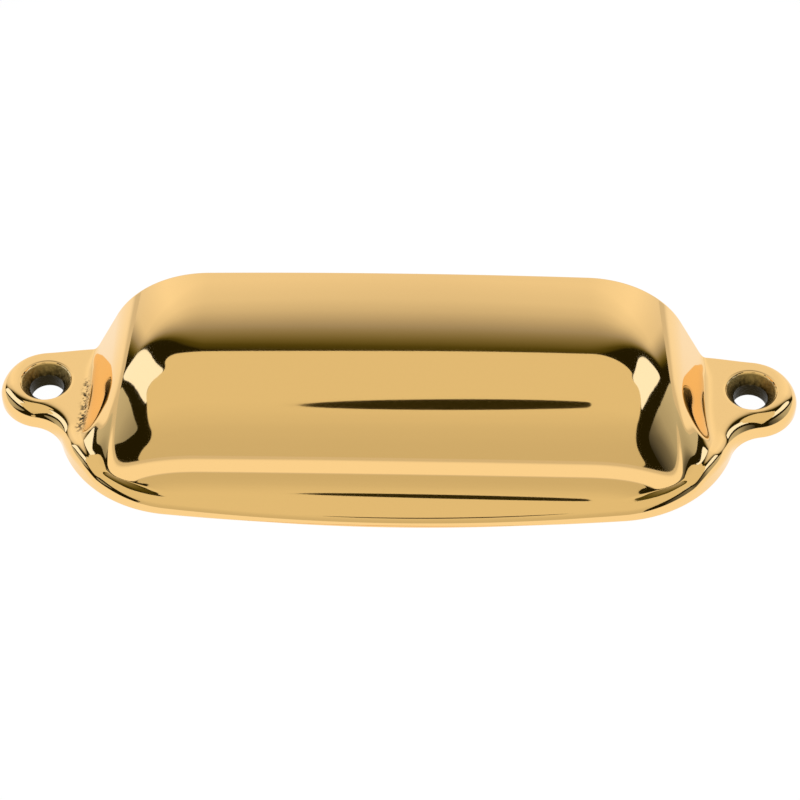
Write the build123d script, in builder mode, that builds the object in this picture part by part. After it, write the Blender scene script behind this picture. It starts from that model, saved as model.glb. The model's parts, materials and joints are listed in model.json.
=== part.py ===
"""Cast brass bin pull: a half-dome finger cup on a thin flange with two screw ears.

The mounting face lies on Z = 0. The origin is midway between the screw holes, X runs along the pull,
+Y is the side of the finger opening and +Z points away from the drawer front. Sizes are millimetres.
"""

import os
from math import cos, radians, sin, tan

from build123d import *

# Screw holes, one in each ear
hole_spacing = 88.9
hole_diameter = 4.3
sink_diameter = 6.5
sink_angle = 82

# Flange: a flat plate set in from the holes, its corners a share of its depth, its front edge thin
flange_thickness = 3.2
front_thickness = 1.66
front_angle = 21
front_margin = 1.54
plate_inset = 1.85
front_bow = 3.2
corner_share = 0.687
edge_round = 1.4

# Ears: round ends that stand out from the plate, their back edges flush with the opening
opening_reach = 5.9
ear_length = 11.2
ear_width = 11.1
ear_overhang = 0.3
root_radius = 5

# Arch of the cup's lip, seen from the opening: crown, corner and straight flank
cup_height = 17.6
end_margin = 4
flank_angle = 63.6
lip_corner_radius = 13.8
lip_crown_angle = 1.5

# Section of the cup on its centre line: crown, shoulder, wall and flared foot
crown_radius = 38
lip_angle = 0.9
crown_angle = 18
wall_angle = 71.5
flare_radius = 6
foot_angle = 25

# How boxy the cup's corners are, from 1 for the roundest upwards, its wall and the bevel of its lip
corner_fullness = 1.3
wall = 2.2
lip_bevel = 0.4

# Spans of the curves that carry the cup's form, and the reach of cuts
crown_spans = 3
bend_spans = 4
tail_spans = 2
overcut = 4.0


def turn_rise(from_slope: float, to_slope: float) -> float:
    """Rise of an arc of radius 1 between two slopes in degrees."""
    return cos(radians(from_slope)) - cos(radians(to_slope))


def turn_run(from_slope: float, to_slope: float) -> float:
    """Run of an arc of radius 1 between two slopes in degrees."""
    return sin(radians(to_slope)) - sin(radians(from_slope))


# The plate ends inside the holes, and the lip's crown arc takes up what the corners and flanks leave
plate_length = hole_spacing - 2 * plate_inset
cup_length = plate_length - 2 * end_margin
flank_lean = 1 / tan(radians(flank_angle))
corner_run = lip_corner_radius * turn_run(lip_crown_angle, flank_angle)
corner_rise = lip_corner_radius * turn_rise(lip_crown_angle, flank_angle)
flank_run = (cup_height - flange_thickness - corner_rise) * flank_lean
crown_share = turn_run(0, lip_crown_angle) - turn_rise(0, lip_crown_angle) * flank_lean
lip_crown_radius = (cup_length / 2 - corner_run - flank_run) / crown_share

# The shoulder arc takes up the height that the crown and the flare leave
crown_drop = crown_radius * turn_rise(lip_angle, crown_angle)
flare_drop = flare_radius * turn_rise(foot_angle, wall_angle)
shoulder_drop = cup_height - front_thickness - crown_drop - flare_drop
shoulder_radius = shoulder_drop / turn_rise(crown_angle, wall_angle)

# The foot of the cup sets where the flange rolls off and ends
crown_depth = crown_radius * turn_run(lip_angle, crown_angle)
cup_depth = crown_depth + shoulder_radius * turn_run(crown_angle, wall_angle)
foot_y = opening_reach - cup_depth - flare_radius * turn_run(foot_angle, wall_angle)
front_y = foot_y - front_margin
roll_radius = (flange_thickness - front_thickness) / turn_rise(0, front_angle)
roll_y = foot_y + roll_radius * turn_run(0, front_angle)


def span_points(curves: list[tuple[Edge, int]]) -> list[Vector]:
    """Points along joined curves, each divided into its own number of spans."""
    points = [curves[0][0] @ 0]
    for curve, spans in curves:
        points += [curve @ (step / spans) for step in range(1, spans + 1)]
    return points


def half_arch(inset: float) -> list[Vector]:
    """Points (X, Z) on half the lip's arch, from its crown to below the mounting face.

    Args:
        inset: depth of the arch inside the cup's outer face.
    """
    with BuildLine():
        crown = JernArc((0, cup_height - inset), (1, 0), lip_crown_radius - inset, -lip_crown_angle)
        corner_angle = lip_crown_angle - flank_angle
        corner = JernArc(crown @ 1, crown % 1, lip_corner_radius - inset, corner_angle)
        flank_length = ((corner @ 1).Y + overcut) / sin(radians(flank_angle))
        flank = Line(corner @ 1, corner @ 1 + (corner % 1) * flank_length)
    return span_points([(crown, crown_spans), (corner, bend_spans), (flank, tail_spans)])


def centre_section(inset: float) -> list[Vector]:
    """Points (Y, Z) on the cup's section at X = 0, from the lip to below the mounting face.

    Args:
        inset: depth of the section inside the cup's outer face; the inner face has no flare.
    """
    with BuildLine():
        lip_point = (opening_reach, cup_height - inset)
        lip_way = (-cos(radians(lip_angle)), -sin(radians(lip_angle)))
        crown = JernArc(lip_point, lip_way, crown_radius - inset, crown_angle - lip_angle)
        shoulder_angle = wall_angle - crown_angle
        end = JernArc(crown @ 1, crown % 1, shoulder_radius - inset, shoulder_angle)
        curves = [(crown, crown_spans), (end, bend_spans)]
        if not inset:
            end = JernArc(end @ 1, end % 1, flare_radius, foot_angle - wall_angle)
            curves.append((end, bend_spans))
        tail = Line(end @ 1, end @ 1 + (end % 1) * ((end @ 1).Y + overcut))
    return span_points([*curves, (tail, tail_spans)])


def cup_slice(arch: list[Vector], drop: float, inset: float) -> list[tuple[float, float]]:
    """Points (X, Z) across the cup where its centre section lies a given drop below the lip.

    Args:
        arch: points on half the lip's arch.
        drop: how far the centre section has come down.
        inset: depth inside the cup's outer face.
    """
    top = cup_height - inset
    half = []
    for point in arch:
        sides = max(top - point.Y, 0) ** corner_fullness + drop**corner_fullness
        half.append((point.X, top - sides ** (1 / corner_fullness)))
    return [(-x, z) for x, z in reversed(half[1:])] + half


def slice_sketches(inset: float, run_past: float) -> list[Sketch]:
    """Closed slices of the cup from its opening to its foot.

    Args:
        inset: depth inside the cup's outer face.
        run_past: how far the first slice stands behind the opening.
    """
    arch = half_arch(inset)
    section = centre_section(inset)
    if run_past:
        section.insert(0, section[0] + (run_past, 0))
    sketches = []
    for point in section:
        drop = max(cup_height - inset - point.Y, 0)
        with BuildSketch(Plane.XZ.offset(-point.X)) as outline:
            with BuildLine():
                rim = Spline(*cup_slice(arch, drop, inset))
                Line(rim @ 1, rim @ 0)
            make_face()
        sketches.append(outline.sketch)
    return sketches


with BuildPart() as flange:
    ear_x = hole_spacing / 2 + ear_overhang
    ear_y = opening_reach - ear_width / 2
    plate_x = plate_length / 2
    plate_corner_y = front_y + front_bow
    corner_radius = corner_share * (opening_reach - plate_corner_y)
    with BuildSketch() as outline:
        with BuildLine():
            ThreePointArc((-plate_x, plate_corner_y), (0, front_y), (plate_x, plate_corner_y))
            Polyline(
                (plate_x, plate_corner_y),
                (plate_x, opening_reach),
                (-plate_x, opening_reach),
                (-plate_x, plate_corner_y),
            )
        make_face()
        fillet(outline.vertices().group_by(Axis.Y)[0], corner_radius)
        with Locations((-ear_x, ear_y)):
            Ellipse(ear_length / 2, ear_width / 2)
        mirror(about=Plane.YZ)
        with Locations((0, opening_reach)):
            Rectangle(2 * ear_x, ear_width / 2, align=(Align.CENTER, Align.MAX))
    extrude(amount=flange_thickness)
    uprights = flange.edges().filter_by(Axis.Z)
    roots = [uprights.sort_by_distance((side * plate_x, ear_y - ear_width / 2))[0] for side in (-1, 1)]
    fillet(roots, root_radius)
    with BuildSketch(Plane.YZ) as above_flange:
        with BuildLine():
            roll = JernArc((roll_y, flange_thickness), (-1, 0), roll_radius, front_angle)
            edge = Line(roll @ 1, roll @ 1 + (roll % 1) * (front_margin + overcut))
            past_front = (edge @ 1).X
            Polyline(edge @ 1, (past_front, cup_height), (roll_y, cup_height), roll @ 0)
        make_face()
    extrude(amount=plate_length, both=True, mode=Mode.SUBTRACT)
    top_faces = flange.faces().filter_by(lambda face: face.normal_at().Z > 0.5)
    side_faces = flange.faces().filter_by(lambda face: abs(face.normal_at().Z) < 0.1)
    rim = (top_faces.edges() & side_faces.edges()).sort_by(Axis.Y)
    fillet(rim, edge_round)

with BuildPart() as cup:
    loft(slice_sketches(inset=0, run_past=0))
    extrude(outline.sketch, amount=cup_height, mode=Mode.INTERSECT)

with BuildPart() as cavity:
    loft(slice_sketches(inset=wall, run_past=overcut))

with BuildPart() as bin_pull:
    add(flange.part)
    add(cup.part)
    add(cavity.part, mode=Mode.SUBTRACT)
    with Locations((hole_spacing / 2, 0, flange_thickness), (-hole_spacing / 2, 0, flange_thickness)):
        CounterSinkHole(hole_diameter / 2, sink_diameter / 2, counter_sink_angle=sink_angle)
    lip = bin_pull.faces().filter_by(Axis.Y).sort_by(Axis.Y)[-1]
    chamfer(lip.edges().filter_by(GeomType.BSPLINE), lip_bevel)

bin_pull.part.label = "bin_pull"
os.makedirs("parts", exist_ok=True)
export_step(bin_pull.part, "parts/bin_pull.step")
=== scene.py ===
"""Polished brass bin pull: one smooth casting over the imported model, on a pale floor in a studio."""

import json
import logging
import math
from dataclasses import dataclass
from enum import Enum
from typing import Any, Sequence

import bmesh
import bpy
import numpy as np
from mathutils import Matrix, Vector


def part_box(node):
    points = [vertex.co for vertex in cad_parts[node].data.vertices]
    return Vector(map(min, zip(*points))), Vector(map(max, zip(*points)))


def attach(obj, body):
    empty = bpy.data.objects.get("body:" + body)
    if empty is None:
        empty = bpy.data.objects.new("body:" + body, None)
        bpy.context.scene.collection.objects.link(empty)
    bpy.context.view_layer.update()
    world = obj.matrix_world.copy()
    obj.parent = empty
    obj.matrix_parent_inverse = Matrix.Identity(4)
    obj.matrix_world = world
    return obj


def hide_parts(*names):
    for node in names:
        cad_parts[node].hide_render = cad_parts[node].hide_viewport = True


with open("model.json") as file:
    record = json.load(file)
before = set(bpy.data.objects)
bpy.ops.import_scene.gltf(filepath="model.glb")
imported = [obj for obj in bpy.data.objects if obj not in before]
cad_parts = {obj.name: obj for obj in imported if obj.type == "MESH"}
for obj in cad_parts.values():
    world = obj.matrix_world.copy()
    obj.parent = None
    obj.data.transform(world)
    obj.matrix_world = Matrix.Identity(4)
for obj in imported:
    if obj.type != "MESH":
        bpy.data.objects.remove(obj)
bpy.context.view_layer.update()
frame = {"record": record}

MM = 0.001
LOG = logging.getLogger("bin_pull")
NODE = "bin_pull"
BODY = "root"
CUP_LENGTH = 77.2 * MM
SPEC = 1e-12


class Face(Enum):
    """The two faces of the casting's skin."""

    TOP = "top"
    UNDER = "under"


@dataclass(frozen=True)
class Arc:
    """A circular arc in plan, run from one angle to another.

    Args:
        centre: centre of the arc.
        radius: its radius.
        start: angle where it starts, in radians.
        end: angle where it ends, in radians.
    """

    centre: tuple[float, float]
    radius: float
    start: float
    end: float

    def length(self) -> float:
        """Length of the arc."""
        return abs(self.end - self.start) * self.radius

    def points(self, count: int) -> np.ndarray:
        """Evenly spaced points on the arc, both ends included."""
        turn = np.linspace(self.start, self.end, count)
        return np.stack([np.cos(turn), np.sin(turn)], 1) * self.radius + np.array(self.centre)


def chain_run(from_slope: float, to_slope: float) -> float:
    """Run of an arc of radius 1 between two slopes in degrees."""
    return math.sin(math.radians(to_slope)) - math.sin(math.radians(from_slope))


def chain_rise(from_slope: float, to_slope: float) -> float:
    """Rise of an arc of radius 1 between two slopes in degrees."""
    return math.cos(math.radians(from_slope)) - math.cos(math.radians(to_slope))


def ease(value: np.ndarray, low: float, high: float) -> np.ndarray:
    """A smooth rise from 0 at one value to 1 at another."""
    share = np.clip((value - low) / (high - low), 0.0, 1.0)
    return share * share * (3 - 2 * share)


@dataclass
class Bend:
    """A falling curve of tangent arcs, given as a drop for each distance from its crown.

    Args:
        turns: radius, first slope and last slope of each arc, slopes in degrees below level.
    """

    turns: Sequence[tuple[float, float, float]]

    def drop(self, reach: np.ndarray) -> np.ndarray:
        """Drop below the crown at each distance, straight on past the last arc.

        Args:
            reach: distances from the crown.

        Returns:
            The drop at each distance, never negative.
        """
        total = np.zeros_like(reach)
        start, fallen = 0.0, 0.0
        for radius, first, last in self.turns:
            way = 1.0 if last > first else -1.0
            run = way * radius * chain_run(first, last)
            sine = np.clip(math.sin(math.radians(first)) + way * (reach - start) / radius, -1.0, 1.0)
            level = np.sqrt(1.0 - sine**2)
            arc = fallen + way * radius * (math.cos(math.radians(first)) - level)
            total = np.where(reach >= start, arc, total)
            start += run
            fallen += way * radius * chain_rise(first, last)
        straight = fallen + (reach - start) * math.tan(math.radians(self.turns[-1][2]))
        return np.maximum(np.where(reach > start, straight, total), 0.0)


@dataclass
class Cup:
    """The finger cup: an arched lip and a centre section, blended into one height over the plan.

    Args:
        height: height of the lip's crown above the mounting face.
        length: length of the cup where it meets the flange.
        opening: distance of the opening from the line of the holes.
        flange: thickness of the flange.
        front: thickness of the flange at the cup's foot.
    """

    height: float
    length: float
    opening: float
    flange: float
    front: float
    flank_slope: float = 63.6
    lip_corner_radius: float = 13.8 * MM
    lip_crown_slope: float = 1.5
    lip_slope: float = 0.9
    crown_radius: float = 38.0 * MM
    crown_slope: float = 18.0
    wall_slope: float = 71.5
    flare_radius: float = 6.0 * MM
    foot_slope: float = 25.0
    fullness: float = 1.3
    wall: float = 2.2 * MM

    def __post_init__(self) -> None:
        """Works out the two radii that close the curves."""
        lean = 1.0 / math.tan(math.radians(self.flank_slope))
        corner = (self.lip_crown_slope, self.flank_slope)
        flank = (self.height - self.flange - self.lip_corner_radius * chain_rise(*corner)) * lean
        share = chain_run(0, self.lip_crown_slope) - chain_rise(0, self.lip_crown_slope) * lean
        rest = self.length / 2 - self.lip_corner_radius * chain_run(*corner) - flank
        self.lip_crown_radius = rest / share
        crown_drop = self.crown_radius * chain_rise(self.lip_slope, self.crown_slope)
        flare_drop = self.flare_radius * chain_rise(self.foot_slope, self.wall_slope)
        left = self.height - self.front - crown_drop - flare_drop
        self.shoulder_radius = left / chain_rise(self.crown_slope, self.wall_slope)

    def foot(self) -> float:
        """Place of the cup's foot on the centre line."""
        run = self.crown_radius * chain_run(self.lip_slope, self.crown_slope)
        run += self.shoulder_radius * chain_run(self.crown_slope, self.wall_slope)
        run += self.flare_radius * chain_run(self.foot_slope, self.wall_slope)
        return self.opening - run

    def drops(self, x: np.ndarray, y: np.ndarray, inset: float) -> tuple[np.ndarray, np.ndarray]:
        """Weighed drops of the face towards the ends and towards the front.

        Args:
            x: places along the pull.
            y: places towards the opening.
            inset: depth below the outer face.

        Returns:
            The two drops, raised to the power that makes the corners full.
        """
        arch = Bend([
            (self.lip_crown_radius - inset, 0.0, self.lip_crown_slope),
            (self.lip_corner_radius - inset, self.lip_crown_slope, self.flank_slope),
        ])
        turns = [
            (self.crown_radius - inset, self.lip_slope, self.crown_slope),
            (self.shoulder_radius - inset, self.crown_slope, self.wall_slope),
        ]
        if not inset:
            turns.append((self.flare_radius, self.wall_slope, self.foot_slope))
        ends = arch.drop(np.abs(x)) ** self.fullness
        return ends, Bend(turns).drop(np.maximum(self.opening - y, 0.0)) ** self.fullness

    def surface(self, x: np.ndarray, y: np.ndarray, inset: float = 0.0) -> np.ndarray:
        """Height above the mounting face of the outer face, or of the inner face at a given depth."""
        ends, front = self.drops(x, y, inset)
        return self.height - inset - (ends + front) ** (1.0 / self.fullness)


@dataclass
class Flange:
    """The flange and its two ears: a plan of tangent arcs and a top that rolls down to the front.

    Args:
        opening: place of the back edge.
        foot: place of the cup's foot on the centre line.
        front_edge: place of the front edge on the centre line.
        tip: reach of the ears along the pull.
    """

    opening: float
    foot: float
    front_edge: float
    tip: float
    thickness: float = 3.2 * MM
    front_thickness: float = 1.66 * MM
    front_slope: float = 21.0
    plate_length: float = 85.2 * MM
    front_bow: float = 3.2 * MM
    corner_radius: float = 16.0 * MM
    ear_radius: float = 5.6 * MM
    root_radius: float = 5.0 * MM
    edge_round: float = 1.5 * MM
    ear_round: float = 2.3 * MM
    back_round: float = 0.5 * MM

    def half_plan(self) -> list[Arc]:
        """Arcs of the right half of the plan, from the ear's back corner to the middle of the front."""
        plate = self.plate_length / 2
        bow = (plate**2 + self.front_bow**2) / (2 * self.front_bow)
        bow_centre = np.array([0.0, self.front_edge + bow])
        corner_x = plate - self.corner_radius
        corner_drop = math.sqrt((bow - self.corner_radius) ** 2 - corner_x**2)
        corner = np.array([corner_x, bow_centre[1] - corner_drop])
        ear = np.array([self.tip - self.ear_radius, self.opening - self.ear_radius])
        near, far = self.ear_radius + self.root_radius, self.corner_radius + self.root_radius
        span = float(np.linalg.norm(corner - ear))
        along = (near**2 - far**2 + span**2) / (2 * span)
        across = math.sqrt(near**2 - along**2)
        unit = (corner - ear) / span
        root = ear + along * unit + across * np.array([-unit[1], unit[0]])

        def angle(from_point: np.ndarray, to_point: np.ndarray) -> float:
            """Direction from one point to another, between -pi and pi."""
            step = to_point - from_point
            return math.atan2(step[1], step[0])

        corner_end = angle(bow_centre, corner)
        return [
            Arc(tuple(ear), self.ear_radius, math.pi / 2, angle(ear, root)),
            Arc(tuple(root), self.root_radius, angle(root, ear), math.pi + angle(corner, root)),
            Arc(tuple(corner), self.corner_radius, angle(corner, root), corner_end),
            Arc(tuple(bow_centre), bow, corner_end, -math.pi / 2),
        ]

    def outline(self, count: int) -> tuple[np.ndarray, np.ndarray, np.ndarray]:
        """Points round the plan from the left ear's back corner to the right ear's.

        Args:
            count: number of points, an odd number.

        Returns:
            Points, outward normals, and the length run from the nearer end.
        """
        per_arc = 400
        arcs = [arc.points(per_arc) for arc in self.half_plan()]
        dense = np.vstack([arcs[0], *(points[1:] for points in arcs[1:])])
        steps = np.hypot(*np.diff(dense, axis=0).T)
        run = np.concatenate([[0.0], np.cumsum(steps)])
        even = np.linspace(0.0, run[-1], count // 2 + 1)
        half = np.stack([np.interp(even, run, dense[:, axis]) for axis in (0, 1)], 1)
        tangent = np.gradient(half, axis=0)
        tangent[0], tangent[-1] = (1.0, 0.0), (-1.0, 0.0)
        normal = np.stack([-tangent[:, 1], tangent[:, 0]], 1)
        normal /= np.linalg.norm(normal, axis=1, keepdims=True)
        mirror = np.array([-1.0, 1.0])
        points = np.vstack([half * mirror, half[::-1][1:]])
        normals = np.vstack([normal * mirror, normal[::-1][1:]])
        return points, normals, np.concatenate([even, even[::-1][1:]])

    def surface(self, y: np.ndarray) -> np.ndarray:
        """Height of the flange's top at each place towards the front."""
        roll = (self.thickness - self.front_thickness) / chain_rise(0, self.front_slope)
        start = self.foot + roll * chain_run(0, self.front_slope)
        return self.thickness - Bend([(roll, 0.0, self.front_slope)]).drop(np.maximum(start - y, 0.0))


@dataclass
class Casting:
    """The whole casting as one skin: top, rounded edge and hollow underside.

    Args:
        cup: the finger cup.
        flange: the flange with its ears.
        hole_spacing: distance between the screw holes.
        hole_radius: radius of each hole.
    """

    cup: Cup
    flange: Flange
    hole_spacing: float
    hole_radius: float
    sink_radius: float = 3.25 * MM
    sink_angle: float = 82.0
    blend: float = 0.1 * MM
    end_blend: float = 2.4 * MM
    corner_blend: float = 5.2 * MM
    ear_hollow: float = 0.95 * MM
    ear_turn: tuple[float, float] = (37.5 * MM, 46.5 * MM)
    ear_edge: tuple[float, float] = (38.0 * MM, 43.0 * MM)
    edge_run: float = 9.0 * MM
    pit_end: tuple[float, float] = (33.0 * MM, 36.0 * MM)
    pit_back: tuple[float, float] = (-1.0 * MM, 1.5 * MM)
    pit_front: tuple[float, float] = (-9.5 * MM, -7.5 * MM)
    lip_half: float = 25.0 * MM
    under_round: float = 0.3 * MM
    ribs: int = 361
    rows: int = 96
    edge_steps: int = 8
    under_steps: int = 3

    def join(self, x: np.ndarray, y: np.ndarray) -> tuple[np.ndarray, np.ndarray]:
        """Height of the cup over the flange, and the height within which the fillet round its foot acts.

        The fillet is thin at the front, where the foot is flared, and at the lip, and widest at the corners.

        Args:
            x: places along the pull.
            y: places towards the opening.

        Returns:
            The height over the flange and the fillet's reach at each place.
        """
        ends, front = self.cup.drops(x, y, 0.0)
        share = ends / (ends + front + SPEC)
        back = 0.35 + 0.65 * ease(self.cup.opening - y, 0.0, 4.0 * MM)
        corner = ease(share, 0.4, 0.7) * ease(1 - share, 0.02, 0.2)
        reach = self.blend + self.end_blend * ease(share, 0.3, 0.9) * back + self.corner_blend * corner
        return self.cup.surface(x, y) - self.flange.surface(y), reach

    def top(self, x: np.ndarray, y: np.ndarray) -> np.ndarray:
        """Height of the top: cup and flange with a fillet between them."""
        over, reach = self.join(x, y)
        soft = np.maximum(reach - np.abs(over), 0.0) / reach
        return self.flange.surface(y) + np.maximum(over, 0.0) + soft**2 * reach / 4

    def under(self, x: np.ndarray, y: np.ndarray) -> np.ndarray:
        """Height of the underside: the mounting face and the hollow of the cup."""
        return np.maximum(self.cup.surface(x, y, self.cup.wall), 0.0)

    def ribs_of(self, face: Face, outer: np.ndarray, inner: np.ndarray) -> np.ndarray:
        """Points on ribs from the outline to the lip, closest together where the face bends most.

        Args:
            face: which face of the skin.
            outer: plan points where the ribs start.
            inner: plan points at the lip where they end.

        Returns:
            An array of ribs by rows by three.
        """
        height = self.top if face is Face.TOP else self.under
        share = np.linspace(0.0, 1.0, 700)
        bend_length = 3.0 * MM

        def lift(amount: np.ndarray) -> np.ndarray:
            """Raises plan points at each share of every rib to the face."""
            plan = outer[:, None] * (1 - amount[..., None]) + inner[:, None] * amount[..., None]
            return np.dstack([plan, height(plan[..., 0], plan[..., 1])])

        dense = lift(np.broadcast_to(share, (len(outer), len(share))))
        step = np.diff(dense, axis=1)
        length = np.linalg.norm(step, axis=2)
        unit = step / np.maximum(length, SPEC)[..., None]
        turn = np.linalg.norm(np.diff(unit, axis=1), axis=2)
        weight = length.copy()
        weight[:, 1:] += bend_length * turn / 2
        weight[:, :-1] += bend_length * turn / 2
        run = np.concatenate([np.zeros((len(outer), 1)), np.cumsum(weight, axis=1)], axis=1)
        run /= run[:, -1:]
        even = np.linspace(0.0, 1.0, self.rows)
        picked = np.stack([np.interp(even, line, share) for line in run])
        return lift(picked)

    def lip_line(self, plan: np.ndarray) -> np.ndarray:
        """Places along the lip where the ribs end, spread mostly to the ribs of the front.

        Args:
            plan: points round the outline.

        Returns:
            A place along the pull for each point.
        """
        steps = np.hypot(*np.diff(plan, axis=0).T)
        middle = np.abs(plan[:-1, 0] + plan[1:, 0]) / 2
        ear_start, front_end = 41.0 * MM, 30.0 * MM
        weight = np.interp(middle, [front_end, ear_start], [1.0, 0.12])
        run = np.concatenate([[0.0], np.cumsum(steps * weight)])
        return self.lip_half * (2 * run / run[-1] - 1)

    def edge_rows(self, top: np.ndarray, under: np.ndarray, out: np.ndarray, rounding: np.ndarray,
                  slope: np.ndarray) -> list[np.ndarray]:
        """Rows of points that wrap the edge from the top loop to the under loop.

        Args:
            top: loop of points where the top ends.
            under: loop of points where the underside ends.
            out: outward direction at each point.
            rounding: radius of the top edge at each point.
            slope: slope of the top across the edge, in radians.

        Returns:
            The rows between the two loops, from top to under.
        """
        down = under - top
        down -= out * np.sum(down * out, axis=1, keepdims=True)
        down /= np.linalg.norm(down, axis=1, keepdims=True)
        sine, cosine = np.sin(slope)[:, None], np.cos(slope)[:, None]
        radius = rounding[:, None]
        hub = top - radius * (out * sine - down * cosine)
        low_hub = under - down * self.under_round
        rows = []
        for step in range(1, self.edge_steps + 1):
            turn = slope + (math.pi / 2 - slope) * step / self.edge_steps
            rows.append(hub + radius * (out * np.sin(turn)[:, None] - down * np.cos(turn)[:, None]))
        start, end = rows[-1], low_hub + out * self.under_round
        for share in (0.08, 0.92):
            rows.append(start * (1 - share) + end * share)
        for step in range(self.under_steps):
            turn = math.pi / 2 * (1 - step / self.under_steps)
            rows.append(low_hub + self.under_round * (out * math.sin(turn) + down * math.cos(turn)))
        return rows

    def skin(self) -> tuple[np.ndarray, list[tuple[int, ...]]]:
        """Makes the closed skin, before the holes are cut.

        Returns:
            Its vertices and its faces.
        """
        plan, normal, run = self.flange.outline(self.ribs)
        near_ear = ease(np.abs(plan[:, 0]), *self.ear_edge)
        full = self.flange.edge_round + (self.flange.ear_round - self.flange.edge_round) * near_ear
        rounding = self.flange.back_round + (full - self.flange.back_round) * ease(run, 0.0, self.edge_run)
        step = 0.01 * MM
        fall = (self.flange.surface(plan[:, 1] + step) - self.flange.surface(plan[:, 1] - step)) / (2 * step)
        slope = np.arctan(-fall * normal[:, 1])
        lip_x = self.lip_line(plan)
        back = self.flange.opening
        outer_top = plan - normal * (rounding * (1 - np.sin(slope)))[:, None]
        outer_under = plan - normal * self.under_round
        inner_top = np.stack([lip_x, np.full_like(lip_x, back - self.flange.back_round)], 1)
        inner_under = np.stack([lip_x, np.full_like(lip_x, back - self.under_round)], 1)
        top = self.ribs_of(Face.TOP, outer_top, inner_top)
        under = self.ribs_of(Face.UNDER, outer_under, inner_under)

        count, rows = top.shape[:2]
        index = np.arange(count * rows).reshape(count, rows)
        loop = np.concatenate([index[:, 0], index[-1, 1:], index[-2::-1, -1], index[0, -2:0:-1]])
        flat_top, flat_under = top.reshape(-1, 3), under.reshape(-1, 3)
        extra = len(loop) - count
        out = np.zeros((len(loop), 3))
        out[:count, :2] = normal
        out[count:, 1] = 1.0
        loop_round = np.concatenate([rounding, np.full(extra, self.flange.back_round)])
        loop_slope = np.concatenate([slope, np.zeros(extra)])
        edge = self.edge_rows(flat_top[loop], flat_under[loop], out, loop_round, loop_slope)

        under_start = count * rows
        edge_start = 2 * under_start
        size = len(loop)
        vertices = np.vstack([flat_top, flat_under, *edge])
        behind = np.clip((vertices[:, 1] + self.ear_hollow) / (back + self.ear_hollow), 0.0, 1.0)
        vertices[:, 1] -= self.ear_hollow * ease(np.abs(vertices[:, 0]), *self.ear_turn) * behind
        a, b = index[:-1, :-1].ravel(), index[1:, :-1].ravel()
        c, d = index[1:, 1:].ravel(), index[:-1, 1:].ravel()
        faces = [tuple(quad) for quad in np.stack([a, b, c, d], 1)]
        faces += [tuple(quad) for quad in np.stack([d, c, b, a], 1) + under_start]
        rings = [loop] + [edge_start + row * size + np.arange(size) for row in range(len(edge))]
        rings.append(loop + under_start)
        for upper, lower in zip(rings[:-1], rings[1:]):
            for here in range(size):
                there = (here + 1) % size
                faces.append((upper[here], lower[here], lower[there], upper[there]))
        return vertices, faces

    def marks(self, vertices: np.ndarray) -> dict[str, np.ndarray]:
        """Raw skin, and the pitted crease that the finish darkens with painted shade, at each vertex.

        Args:
            vertices: the skin's vertices.

        Returns:
            Values from 0 to 1 for each vertex, by the name of the mark.
        """
        count = self.ribs * self.rows
        raw = np.zeros(len(vertices))
        raw[count:2 * count] = 1.0
        x, y = vertices[:count, 0], vertices[:count, 1]
        over, reach = self.join(x, y)
        # the crease mark gives real pits and painted shade along the fillet at the left end
        crease = np.zeros(len(vertices))
        near = np.clip(1.4 - 1.4 * np.abs(over / reach + 0.6) / 0.4, 0.0, 1.0)
        end = ease(-x, *self.pit_end) * ease(-y, *self.pit_back) * ease(y, *self.pit_front)
        crease[:count] = near * end
        return {"raw": raw, "crease": crease}

    def hole_tree(self) -> bpy.types.NodeTree:
        """Makes the node tree that cuts the two countersunk holes.

        Returns:
            The tree, with the sizes of the holes and the finish as named inputs.
        """
        tree = bpy.data.node_groups.new("countersunk_holes", "GeometryNodeTree")
        face = tree.interface
        face.new_socket("Geometry", in_out="OUTPUT", socket_type="NodeSocketGeometry")
        face.new_socket("Geometry", in_out="INPUT", socket_type="NodeSocketGeometry")
        for name in ("Spacing", "Hole Radius", "Sink Radius", "Sink Depth", "Thickness"):
            face.new_socket(name, in_out="INPUT", socket_type="NodeSocketFloat")
        face.new_socket("Finish", in_out="INPUT", socket_type="NodeSocketMaterial")
        nodes = Graph(tree)

        def size(name: str) -> Socket:
            """A named size of the tree."""
            return nodes.node("NodeGroupInput", output=name)

        def along(axis: int, value: Socket) -> Socket:
            """A vector along one axis."""
            return nodes.node("ShaderNodeCombineXYZ", inputs={axis: value})

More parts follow.
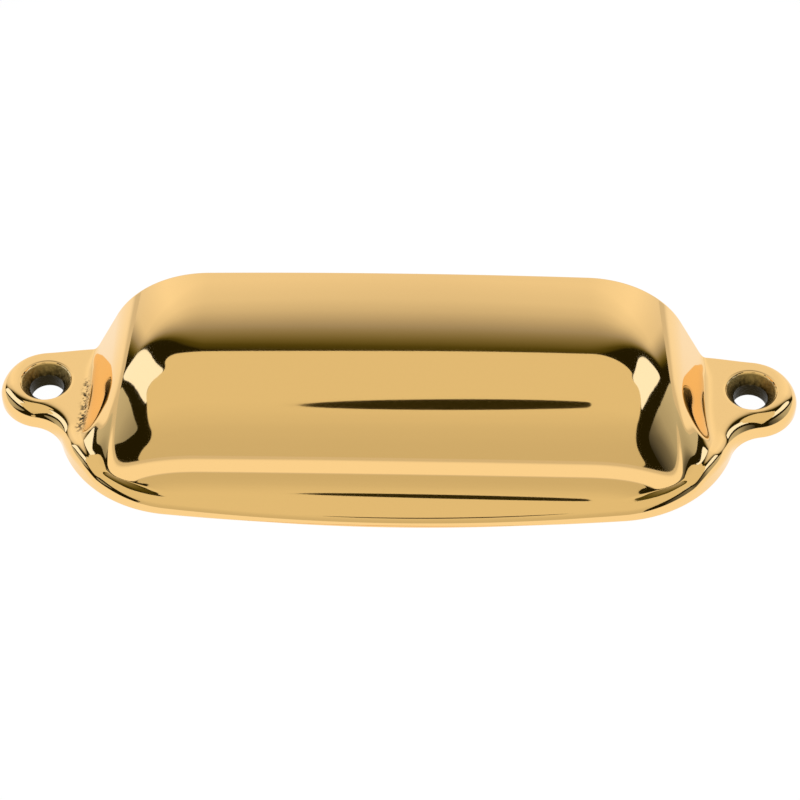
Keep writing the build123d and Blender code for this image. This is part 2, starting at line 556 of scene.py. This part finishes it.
        sides, proud = 96, 1.0 * MM
        depth = size("Sink Depth")
        spread = (size("Sink Radius") - size("Hole Radius")) / depth
        drill = nodes.node("GeometryNodeMeshCylinder", inputs={
            "Vertices": sides, "Radius": size("Hole Radius"), "Depth": size("Thickness") * 4,
        })
        sink = nodes.node("GeometryNodeMeshCone", inputs={
            "Vertices": sides, "Radius Bottom": size("Hole Radius"),
            "Radius Top": size("Sink Radius") + spread * proud, "Depth": depth + proud,
        })
        sink = nodes.node("GeometryNodeTransform", inputs={
            "Geometry": sink, "Translation": along(2, size("Thickness") - depth),
        })
        cutter = nodes.node("GeometryNodeMeshBoolean", {"operation": "UNION", "solver": "EXACT"}, {
            "Mesh 2": drill,
        })
        nodes.tree.links.new(sink.socket, cutter.socket.node.inputs["Mesh 2"])
        line = nodes.node("GeometryNodeMeshLine", inputs={
            "Count": 2, "Start Location": along(0, size("Spacing") * -0.5), "Offset": along(0, size("Spacing")),
        })
        placed = nodes.node("GeometryNodeInstanceOnPoints", inputs={"Points": line, "Instance": cutter})
        cutters = nodes.node("GeometryNodeRealizeInstances", inputs={"Geometry": placed})
        cut = nodes.node("GeometryNodeMeshBoolean", {"operation": "DIFFERENCE", "solver": "EXACT"}, {
            "Mesh 1": size("Geometry"), "Mesh 2": cutters,
        })
        whole = nodes.node("GeometryNodeRealizeInstances", inputs={"Geometry": cut})
        finished = nodes.node("GeometryNodeSetMaterial", inputs={"Geometry": whole, "Material": size("Finish")})
        nodes.node("NodeGroupOutput", inputs={"Geometry": finished})
        return tree

    def build(self) -> bpy.types.Object:
        """Makes the casting's object from its skin, with the marks that its finish reads.

        Returns:
            The casting.
        """
        vertices, faces = self.skin()
        mesh = bpy.data.meshes.new("casting_skin")
        mesh.from_pydata(vertices.tolist(), [], [[int(corner) for corner in face] for face in faces])
        for name, values in self.marks(vertices).items():
            mesh.attributes.new(name, "FLOAT", "POINT").data.foreach_set("value", values)
        piece = bpy.data.objects.new("brass_casting", mesh)
        bpy.context.scene.collection.objects.link(piece)
        return piece

    def dress(self, piece: bpy.types.Object, finish: "Brass") -> None:
        """Cuts the holes, gives the casting its finish and leaves it a plain smooth mesh.

        Args:
            piece: the casting.
            finish: its metal.
        """
        material = finish.make(self.hole_spacing / 2, self.sink_radius)
        tree = self.hole_tree()
        lean = math.tan(math.radians(self.sink_angle / 2))
        sizes = {
            "Spacing": self.hole_spacing,
            "Hole Radius": self.hole_radius,
            "Sink Radius": self.sink_radius,
            "Sink Depth": (self.sink_radius - self.hole_radius) / lean,
            "Thickness": self.flange.thickness,
            "Finish": material,
        }
        modifier = piece.modifiers.new("holes", "NODES")
        modifier.node_group = tree
        for item in tree.interface.items_tree:
            if item.in_out == "INPUT" and item.name in sizes:
                modifier[item.identifier] = sizes[item.name]
        depsgraph = bpy.context.evaluated_depsgraph_get()
        mesh = bpy.data.meshes.new_from_object(piece.evaluated_get(depsgraph), depsgraph=depsgraph)
        piece.modifiers.clear()
        piece.data = mesh
        mesh.polygons.foreach_set("use_smooth", [True] * len(mesh.polygons))
        mesh.set_sharp_from_angle(angle=math.radians(35.0))


class Socket:
    """An output socket that can be used in plain arithmetic, each step adding a Math node.

    Args:
        tree: the graph that the socket belongs to.
        socket: the socket itself.
    """

    def __init__(self, tree: "Graph", socket: bpy.types.NodeSocket) -> None:
        """Keeps the graph and the socket."""
        self.tree = tree
        self.socket = socket

    def _math(self, operation: str, *values: Any) -> "Socket":
        """Adds a Math node on the given values and returns its result."""
        return self.tree.node("ShaderNodeMath", {"operation": operation}, dict(enumerate(values)))

    def __add__(self, other: Any) -> "Socket":
        """Sum."""
        return self._math("ADD", self, other)

    __radd__ = __add__

    def __sub__(self, other: Any) -> "Socket":
        """Difference."""
        return self._math("SUBTRACT", self, other)

    def __rsub__(self, other: Any) -> "Socket":
        """Difference, with the socket taken away."""
        return self._math("SUBTRACT", other, self)

    def __mul__(self, other: Any) -> "Socket":
        """Product."""
        return self._math("MULTIPLY", self, other)

    __rmul__ = __mul__

    def __truediv__(self, other: Any) -> "Socket":
        """Quotient."""
        return self._math("DIVIDE", self, other)

    def __pow__(self, other: Any) -> "Socket":
        """Power."""
        return self._math("POWER", self, other)

    def __abs__(self) -> "Socket":
        """Size without sign."""
        return self._math("ABSOLUTE", self)

    def at_most(self, other: Any) -> "Socket":
        """The smaller of two values."""
        return self._math("MINIMUM", self, other)

    def at_least(self, other: Any) -> "Socket":
        """The larger of two values."""
        return self._math("MAXIMUM", self, other)

    def ease(self, low: float, high: float) -> "Socket":
        """A smooth rise from 0 at one value to 1 at another, which may be the lower one.

        Args:
            low: value at 0.
            high: value at 1.

        Returns:
            The rise.
        """
        fall = high < low
        first, last = (high, low) if fall else (low, high)
        rise = self.tree.node("ShaderNodeMapRange", {"interpolation_type": "SMOOTHSTEP"}, {
            "Value": self, "From Min": first, "From Max": last,
        })
        return 1 - rise if fall else rise


class Graph:
    """A node tree that is filled by one method.

    Args:
        tree: the tree to fill; its nodes are cleared first.
    """

    def __init__(self, tree: bpy.types.NodeTree) -> None:
        """Clears the tree."""
        self.tree = tree
        tree.nodes.clear()

    def node(self, kind: str, settings: dict[str, Any] | None = None, inputs: dict[Any, Any] | None = None,
             output: str | int = 0) -> Socket:
        """Adds a node.

        Args:
            kind: type of the node.
            settings: its settings, set first; "stops" fills a colour ramp.
            inputs: values or sockets for its inputs, by name or number.
            output: name or number of the output to return.

        Returns:
            The chosen output.
        """
        node = self.tree.nodes.new(kind)
        for name, value in (settings or {}).items():
            if name == "stops":
                self._fill_ramp(node.color_ramp, value)
            else:
                setattr(node, name, value)
        for name, value in (inputs or {}).items():
            if isinstance(value, Socket):
                self.tree.links.new(value.socket, node.inputs[name])
            elif value is not None:
                node.inputs[name].default_value = value
        return Socket(self, node.outputs[output]) if len(node.outputs) else Socket(self, node.inputs[0])

    def place(self) -> tuple[Socket, Socket, Socket]:
        """X, Y and Z of the object's own coordinates."""
        place = self.node("ShaderNodeTexCoord", output="Object")
        return tuple(self.node("ShaderNodeSeparateXYZ", inputs={0: place}, output=axis) for axis in "XYZ")

    @staticmethod
    def _fill_ramp(ramp: bpy.types.ColorRamp, stops: Sequence[tuple[float, float]]) -> None:
        """Sets a ramp's grey stops, given as position and level."""
        while len(ramp.elements) < len(stops):
            ramp.elements.new(1.0)
        for element, (place, level) in zip(ramp.elements, stops):
            element.position = place
            element.color = (level, level, level, 1.0)


@dataclass(frozen=True)
class Brass:
    """Hand-polished cast brass, bright outside, rough in the holes and the hollow, with painted shade down the
    holes and in the pits of the crease.

    Args:
        colour: colour of a mirror reflection, linear.
        raw_colour: colour of the unpolished metal.
        dark_colour: colour of the painted shade in the pits of the crease and down the holes, and of the dark
            blotches on the unpolished skin.
        roughness: roughness of the polished faces.
        raw_roughness: roughness of the unpolished metal.
        wave_depth: depth of the faint wave left by hand polishing.
        pit_depth: depth of the casting pits.
        grain_depth: depth of the unpolished skin's grain.
        rim_depth: depth of the rounded rim of each hole.
    """

    colour: tuple[float, float, float] = (0.95, 0.62, 0.25)
    raw_colour: tuple[float, float, float] = (0.44, 0.30, 0.10)
    dark_colour: tuple[float, float, float] = (0.014, 0.010, 0.002)
    roughness: float = 0.035
    raw_roughness: float = 0.42
    wave_depth: float = 0.004 * MM
    pit_depth: float = 0.08 * MM
    grain_depth: float = 0.08 * MM
    rim_depth: float = 0.06 * MM

    def make(self, hole_place: float, hole_radius: float) -> bpy.types.Material:
        """Makes the material.

        Args:
            hole_place: distance of each hole from the middle of the pull.
            hole_radius: radius of each hole at the top of its sink.

        Returns:
            The material, which reads the skin's raw and crease attributes.
        """
        material = bpy.data.materials.new("polished_brass")
        material.use_nodes = True
        graph = Graph(material.node_tree)
        place = graph.node("ShaderNodeTexCoord", output="Object")
        x, y, z = graph.place()
        reach = ((abs(x) - hole_place) ** 2 + y * y) ** 0.5
        hole = reach.ease(hole_radius - 0.05 * MM, hole_radius - 0.25 * MM)
        skin = graph.node("ShaderNodeAttribute", {"attribute_name": "raw"}, output="Fac")
        crease = graph.node("ShaderNodeAttribute", {"attribute_name": "crease"}, output="Fac")
        raw = hole.at_least(skin)

        def noise(scale: float, detail: float = 2.0, stretch: tuple[float, float, float] = (1, 1, 1)) -> Socket:
            """Noise whose features are about the given size, stretched along the axes."""
            spread = graph.node("ShaderNodeMapping", inputs={"Vector": place, "Scale": stretch})
            return graph.node("ShaderNodeTexNoise", inputs={
                "Vector": spread, "Scale": 1 / scale, "Detail": detail,
            })

        wave = noise(9.0 * MM, 1.0) + noise(3.0 * MM, 1.0) * 0.25
        pits = noise(0.42 * MM, 3.0).ease(0.44, 0.58)
        grain = noise(0.35 * MM, 4.0)
        hairlines = noise(0.3 * MM, 2.0, (0.08, 1.0, 1.0))
        rough_line = crease * noise(0.6 * MM, 3.0).ease(0.36, 0.5)
        rim = reach.ease(hole_radius + 0.45 * MM, hole_radius)
        # painted shade: a ragged depth below which the holes are painted darker
        ragged_shade_depth = z + noise(0.45 * MM, 3.0, (1.0, 1.0, 0.4)) * 1.2 * MM
        deep = ragged_shade_depth.ease(3.6 * MM, 2.3 * MM)
        height = wave * self.wave_depth - rough_line * self.pit_depth * pits + raw * grain * self.grain_depth
        height = height - rim * rim * self.rim_depth
        bump = graph.node("ShaderNodeBump", inputs={"Height": height, "Distance": 1.0, "Strength": 1.0})
        dull = self.roughness + hairlines * 0.03 + rough_line * 0.25
        roughness = dull + raw * (self.raw_roughness - dull)
        shade = graph.node("ShaderNodeMix", {"data_type": "RGBA"}, {
            "Factor": raw, 6: (*self.colour, 1.0), 7: (*self.raw_colour, 1.0),
        }, output=2)
        # painted shade: each hole is painted a quarter dark and near black towards its bottom, and the pits of
        # the crease near black
        dark = (hole * (0.25 + deep * 0.73)).at_least(rough_line * pits)
        shade = graph.node("ShaderNodeMix", {"data_type": "RGBA"}, {
            "Factor": dark, 6: shade, 7: (*self.dark_colour, 1.0),
        }, output=2)
        blotch = noise(1.6 * MM, 4.0).ease(0.4, 0.68) * 0.3 + grain.ease(0.45, 0.65) * 0.3
        shade = graph.node("ShaderNodeMix", {"data_type": "RGBA"}, {
            "Factor": skin * blotch, 6: shade, 7: (*self.dark_colour, 1.0),
        }, output=2)
        shader = graph.node("ShaderNodeBsdfPrincipled", inputs={
            "Base Color": shade, "Metallic": 1.0, "Roughness": roughness, "Normal": bump,
        })
        graph.node("ShaderNodeOutputMaterial", inputs={"Surface": shader})
        return material


def outward(zenith: float, compass: float, distance: float) -> tuple[float, float, float]:
    """A point in a direction from the pull, by its angles from overhead and from +Y, in degrees."""
    high, turn = math.radians(zenith), math.radians(compass)
    level = distance * math.sin(high)
    return level * math.sin(turn), level * math.cos(turn), distance * math.cos(high)


@dataclass(frozen=True)
class Card:
    """A flat studio card that the metal reflects and the camera doesn't see.

    Args:
        name: name of the card.
        corners: its corners.
        level: brightness, where 1 is white.
        tint: colour of its light.
        fade: share of the brightness at places along Y, or none for an even card.
    """

    name: str
    corners: Sequence[tuple[float, float, float]]
    level: float
    tint: tuple[float, float, float] = (1.0, 1.0, 1.0)
    fade: Sequence[tuple[float, float]] = ()

    def glow(self, graph: Graph) -> Socket:
        """Adds the card's light to its material, even or fading along Y.

        Args:
            graph: the material's nodes.

        Returns:
            The light.
        """
        if not self.fade:
            return graph.node("ShaderNodeEmission", inputs={"Color": (*self.tint, 1.0), "Strength": self.level})
        first, last = self.fade[0][0], self.fade[-1][0]
        _, y, _ = graph.place()
        stops = [((along - first) / (last - first), share) for along, share in self.fade]
        share = graph.node("ShaderNodeValToRGB", {"stops": stops}, {"Fac": (y - first) / (last - first)})
        light = graph.node("ShaderNodeVectorMath", {"operation": "SCALE"}, {0: self.tint, "Scale": share})
        return graph.node("ShaderNodeEmission", inputs={"Color": light, "Strength": self.level})

    def build(self) -> None:
        """Makes the card."""
        mesh = bpy.data.meshes.new(self.name)
        mesh.from_pydata([list(corner) for corner in self.corners], [], [list(range(len(self.corners)))])
        card = bpy.data.objects.new(self.name, mesh)
        bpy.context.scene.collection.objects.link(card)
        material = bpy.data.materials.new(self.name)
        material.use_nodes = True
        graph = Graph(material.node_tree)
        graph.node("ShaderNodeOutputMaterial", inputs={"Surface": self.glow(graph)})
        mesh.materials.append(material)
        card.visible_camera = False


@dataclass(frozen=True)
class Room:
    """A dark room round the studio with a bright sweep of paper behind the pull.

    Args:
        radius: radius of the room.
        dark: brightness of the room.
        shade: tint of its dark parts.
        paper: tint of the sweep.
        spread: how far the sweep's ends come forward, as Y for each X.
        fade: brightness of the sweep from its front edge to the back.
    """

    radius: float = 3.0
    dark: float = 0.016
    shade: tuple[float, float, float] = (1.0, 0.9, 0.15)
    paper: tuple[float, float, float] = (1.0, 1.0, 1.0)
    spread: float = 0.52
    fade: tuple[tuple[float, float], ...] = (
        (0.0, 0.0), (0.13, 0.07), (0.249, 0.30), (0.358, 0.54), (0.433, 0.69), (0.556, 0.83), (0.845, 0.93),
    )

    def build(self) -> None:
        """Makes the room as a dome round the floor."""
        mesh = bpy.data.meshes.new("room")
        form = bmesh.new()
        bmesh.ops.create_icosphere(form, subdivisions=5, radius=self.radius)
        form.to_mesh(mesh)
        form.free()
        room = bpy.data.objects.new("room", mesh)
        bpy.context.scene.collection.objects.link(room)
        material = bpy.data.materials.new("room")
        material.use_nodes = True
        graph = Graph(material.node_tree)
        x, y, z = (axis / self.radius for axis in graph.place())
        behind = y.at_least(0.0)
        deep = (behind * behind - x * x * self.spread**2).at_least(0.0) ** 0.5
        ramp = graph.node("ShaderNodeValToRGB", {"stops": self.fade}, {"Fac": deep / z.at_least(0.02)})
        way = behind / abs(x).at_least(0.001) + z.at_least(0.0) * 0.6
        ends = way.ease(0.62, 0.86) * 0.72 + way.ease(0.62, 1.4) * 0.28
        share = ramp * ends * (0.94 + abs(x) * 0.25) + self.dark
        tint = graph.node("ShaderNodeMix", {"data_type": "RGBA"}, {
            "Factor": ((share - 0.08) / 0.3).at_least(0.0).at_most(1.0),
            6: (*self.shade, 1.0), 7: (*self.paper, 1.0),
        }, output=2)
        light = graph.node("ShaderNodeVectorMath", {"operation": "SCALE"}, {0: tint, "Scale": share})
        glow = graph.node("ShaderNodeEmission", inputs={"Color": light, "Strength": 1.0})
        graph.node("ShaderNodeOutputMaterial", inputs={"Surface": glow})
        mesh.materials.append(material)


@dataclass
class Studio:
    """Floor, cards and camera."""

    elevation: float = 47.777
    yaw: float = 2.009
    roll: float = -0.68
    target: tuple[float, float, float] = (0.421 * MM, -4.101 * MM, 5.0 * MM)
    distance: float = 350.0 * MM
    focal_pixels: float = 2810.3
    frame_pixels: float = 800.0
    card_distance: float = 2.0
    # painted fall-off of light on the floor: where it starts and how much it dims
    painted_pool_reach: float = 85.0 * MM
    painted_floor_fall: float = 0.32
    floor_glow: float = 1.05
    glow_share: float = 0.93
    lens_radius: float = 42.0 * MM
    lens_height: float = 28.0 * MM
    lens_lean: float = 0.34
    warm: tuple[float, float, float] = (1.0, 0.98, 0.84)
    cool: tuple[float, float, float] = (0.9, 0.97, 1.0)
    shade: tuple[float, float, float] = (1.0, 0.9, 0.2)
    bright: tuple[float, float, float] = (0.85, 1.0, 1.38)

    def eye_frame(self) -> tuple[Vector, Vector, Vector, Vector]:
        """Works out where the camera stands.

        Returns:
            Its place and its right, up and back directions.
        """
        high, turn, roll = (math.radians(angle) for angle in (self.elevation, self.yaw, self.roll))
        back = Vector((math.sin(turn) * math.cos(high), -math.cos(turn) * math.cos(high), math.sin(high)))
        level = Vector((math.cos(turn), math.sin(turn), 0.0))
        tall = back.cross(level)
        right = level * math.cos(roll) + tall * math.sin(roll)
        up = tall * math.cos(roll) - level * math.sin(roll)
        return Vector(self.target) + back * self.distance, right, up, back

    def camera(self) -> None:
        """Sets the camera at the photograph's viewing angle."""
        eye, right, up, back = self.eye_frame()
        data = bpy.data.cameras.new("camera")
        data.sensor_width = 36.0
        data.lens = self.focal_pixels / self.frame_pixels * data.sensor_width
        data.clip_start = 0.01
        camera = bpy.data.objects.new("camera", data)
        turn = Matrix((right, up, back)).transposed().to_4x4()
        camera.matrix_world = Matrix.Translation(eye) @ turn
        bpy.context.scene.collection.objects.link(camera)
        bpy.context.scene.camera = camera

    def lens(self) -> Card:
        """A dark disc round the camera, which shows in the metal as a lens does."""
        eye, right, up, back = self.eye_frame()
        count = 48
        turns = [2 * math.pi * step / count for step in range(count)]
        lean = right + up * self.lens_lean
        wide, high = self.lens_radius, self.lens_height
        rim = [lean * math.cos(turn) * wide + up * math.sin(turn) * high for turn in turns]
        return Card("lens", [tuple(eye + back * 2 * MM + spoke) for spoke in rim], 0.03, self.shade)

    def around(self, *angles: tuple[float, float]) -> list[tuple[float, float, float]]:
        """Corners of a card from their directions, a little rounded.

        Args:
            angles: zenith and compass angles of the corners, in degrees.

        Returns:
            Points at the cards' distance.
        """
        corners = [Vector(outward(zenith, compass, self.card_distance)) for zenith, compass in angles]
        for most in (0.16, 0.08, 0.04):
            cut = []
            for here, there in zip(corners, corners[1:] + corners[:1]):
                share = min(0.25, most * self.card_distance / (there - here).length)
                cut += [here.lerp(there, share), there.lerp(here, share)]
            corners = cut
        return [tuple(corner) for corner in corners]

    def cards(self) -> list[Card]:
        """The cards whose reflections shape the metal."""
        far = self.card_distance
        sheet = self.around(
            (36.8, 281.3), (8.2, 278.1), (7.3, 33.7), (37.7, 85.6), (35.8, 100.2), (44.5, 103.1), (50.6, 126.9),
            (55.5, 141.3), (65.5, 151.9), (76.2, 156.5), (92.0, 155.5), (92.0, 209.6), (82.3, 211.8),
            (75.2, 207.9), (65.7, 213.3), (54.9, 234.6), (51.3, 260.3), (32.2, 256.0),
        )
        left_box = self.around(
            (89.4, 297.3), (61.2, 297.5), (43.7, 277.6), (32.2, 256.0), (51.3, 260.3), (54.0, 237.7),
            (55.8, 250.3), (62.1, 270.0), (74.6, 284.6), (88.6, 294.1),
        )
        right_box = self.around(
            (50.6, 63.6), (75.4, 66.8), (69.0, 74.2), (55.0, 93.0), (50.5, 115.4), (51.1, 127.6), (44.5, 103.1),
            (35.8, 100.2), (40.8, 82.7),
        )
        left_wall = self.around(
            (93.0, 296.0), (77.9, 280.7), (68.1, 265.1), (65.9, 241.2), (68.7, 227.0), (79.0, 239.2),
            (85.0, 252.2), (93.0, 264.6),
        )
        right_wall = self.around(
            (93.0, 60.0), (82.3, 68.4), (70.3, 84.1), (61.3, 105.0), (62.5, 130.3), (69.9, 141.7), (84.0, 142.0),
            (93.0, 138.0), (93.0, 110.0), (93.0, 85.0),
        )
        dimming = [(-far, 0.85), (-0.9 * far, 0.82), (-0.5 * far, 1.0), (0.0, 1.0)]
        left_fade = [(-1.4, 0.42), (-0.9, 0.55), (-0.16, 0.82), (0.84, 1.0)]
        right_fade = [(-1.5, 0.06), (-0.9, 0.3), (-0.3, 0.72), (0.9, 1.0)]
        return [
            Card("front_sheet", sheet, 0.80, self.warm, dimming),
            Card("left_box", left_box, 1.3, self.bright),
            Card("right_box", right_box, 1.3, self.bright),
            Card("left_wall", left_wall, 0.68, self.cool, left_fade),
            Card("right_wall", right_wall, 0.68, self.cool, right_fade),
            self.lens(),
        ]

    def floor(self) -> None:
        """Lays the floor: white round the pull, greyer farther off as a painted fall-off of light, the same to
        the eye and in reflections.
        """
        half, below = 4.0, 0.02 * MM
        corners = [(-half, -half, -below), (half, -half, -below), (half, half, -below), (-half, half, -below)]
        mesh = bpy.data.meshes.new("floor")
        mesh.from_pydata(corners, [], [(0, 1, 2, 3)])
        floor = bpy.data.objects.new("floor", mesh)
        bpy.context.scene.collection.objects.link(floor)
        material = bpy.data.materials.new("pale_floor")
        material.use_nodes = True
        graph = Graph(material.node_tree)
        seen = self.seen(graph)
        matt = graph.node("ShaderNodeBsdfDiffuse", inputs={"Color": (0.9, 0.9, 0.9, 1.0)})
        x, y, _ = graph.place()
        # painted pool of light: full white near the pull, dimming farther off
        level = 1 - ((x * x + y * y) ** 0.5).ease(self.painted_pool_reach, 2 * self.painted_pool_reach) * self.painted_floor_fall
        light = graph.node("ShaderNodeVectorMath", {"operation": "SCALE"}, {0: (1.0, 1.0, 1.0), "Scale": level})
        glow = graph.node("ShaderNodeEmission", inputs={"Color": light, "Strength": self.floor_glow})
        mixed = graph.node("ShaderNodeMixShader", inputs={"Fac": seen * self.glow_share, 1: matt, 2: glow})
        graph.node("ShaderNodeOutputMaterial", inputs={"Surface": mixed})
        mesh.materials.append(material)

    @staticmethod
    def seen(graph: Graph) -> Socket:
        """1 on rays from the camera, off metal or through glass, 0 on the rays that carry light."""
        camera = graph.node("ShaderNodeLightPath", output="Is Camera Ray")
        glossy = graph.node("ShaderNodeLightPath", output="Is Glossy Ray")
        through = graph.node("ShaderNodeLightPath", output="Is Transmission Ray")
        return camera.at_least(glossy).at_least(through)

    @staticmethod
    def world() -> None:
        """A plain white world outside the room."""
        world = bpy.data.worlds.new("studio")
        world.use_nodes = True
        graph = Graph(world.node_tree)
        bright = graph.node("ShaderNodeBackground", inputs={"Color": (1.0, 1.0, 1.0, 1.0), "Strength": 1.0})
        graph.node("ShaderNodeOutputWorld", inputs={"Surface": bright})
        bpy.context.scene.world = world

    def build(self) -> None:
        """Sets up the whole studio."""
        bpy.context.scene.view_settings.view_transform = "Standard"
        self.camera()
        self.floor()
        self.world()
        Room().build()
        for card in self.cards():
            card.build()


def main() -> None:
    """Builds the casting and the studio."""
    logging.basicConfig(level=logging.INFO)
    low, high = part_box(NODE)
    mounts = {mount["name"]: mount for mount in frame["record"]["mounts"]}
    holes = mounts["screw_holes"]["dims"]
    flange_top, front_top = Flange.thickness, Flange.front_thickness
    cup = Cup(height=high[2], length=CUP_LENGTH, opening=high[1], flange=flange_top, front=front_top)
    flange = Flange(opening=high[1], foot=cup.foot(), front_edge=low[1], tip=min(high[0], -low[0]))
    casting = Casting(cup, flange, holes["spacing_x_mm"] * MM, holes["hole_r_mm"] * MM)
    piece = casting.build()
    casting.dress(piece, Brass())
    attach(piece, BODY)
    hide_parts(NODE)
    LOG.info("%s: %d faces", piece.name, len(piece.data.polygons))
    Studio().build()


if __name__ == "__main__":
    main()
